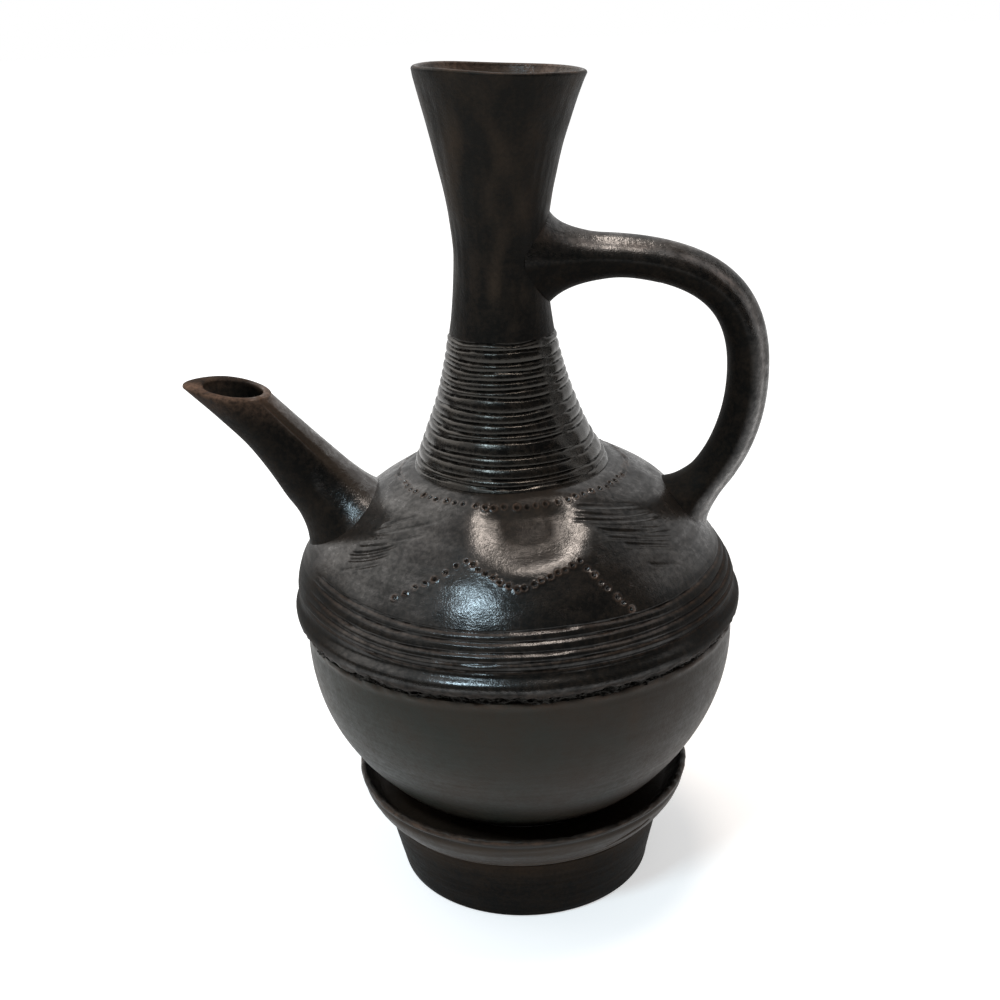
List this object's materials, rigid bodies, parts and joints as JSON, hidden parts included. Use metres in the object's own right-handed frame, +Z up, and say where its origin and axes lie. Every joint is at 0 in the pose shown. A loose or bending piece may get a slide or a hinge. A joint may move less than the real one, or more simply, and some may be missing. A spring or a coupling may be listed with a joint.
{
  "type": "jebena coffee pot",
  "caption": "Round-bellied burnished clay coffee pot with a tall flared neck, a side spout and a loop handle, resting loose in a clay ring stand.",
  "frame": {"origin": "middle of the stand's foot ring, on the surface that it rests on and on the axis of pot and stand", "axes": "+Z up along the axis of pot and stand, +X towards the handle, -X towards the spout, and -Y towards the side that the picture shows"},
  "size_m": [0.1759, 0.1382, 0.2514],
  "materials": {
    "burnished_clay": "black reduction-fired clay, burnished to a gloss, worn brown on lips and ridges",
    "satin_clay": "black reduction-fired clay, smoothed to a satin",
    "torn_clay": "black clay, torn and left rough"
  },
  "bodies": {
    "stand": {"stand_foot": "satin_clay", "stand_dish": "satin_clay"},
    "pot": {"belly_bowl": "satin_clay", "seam_band": "torn_clay", "shoulder_dome": "burnished_clay", "neck_cone": "burnished_clay", "mouth_funnel": "burnished_clay", "spout_tube": "burnished_clay", "spout_collar": "burnished_clay", "handle_loop": "burnished_clay", "handle_neck_pad": "burnished_clay", "handle_shoulder_pad": "burnished_clay"}
  },
  "joints": [
    {"name": "pot_lift", "type": "slide", "parent": "stand", "child": "pot", "axis": [0, 0, 1], "range_m": [0, 0.12]}
  ]
}
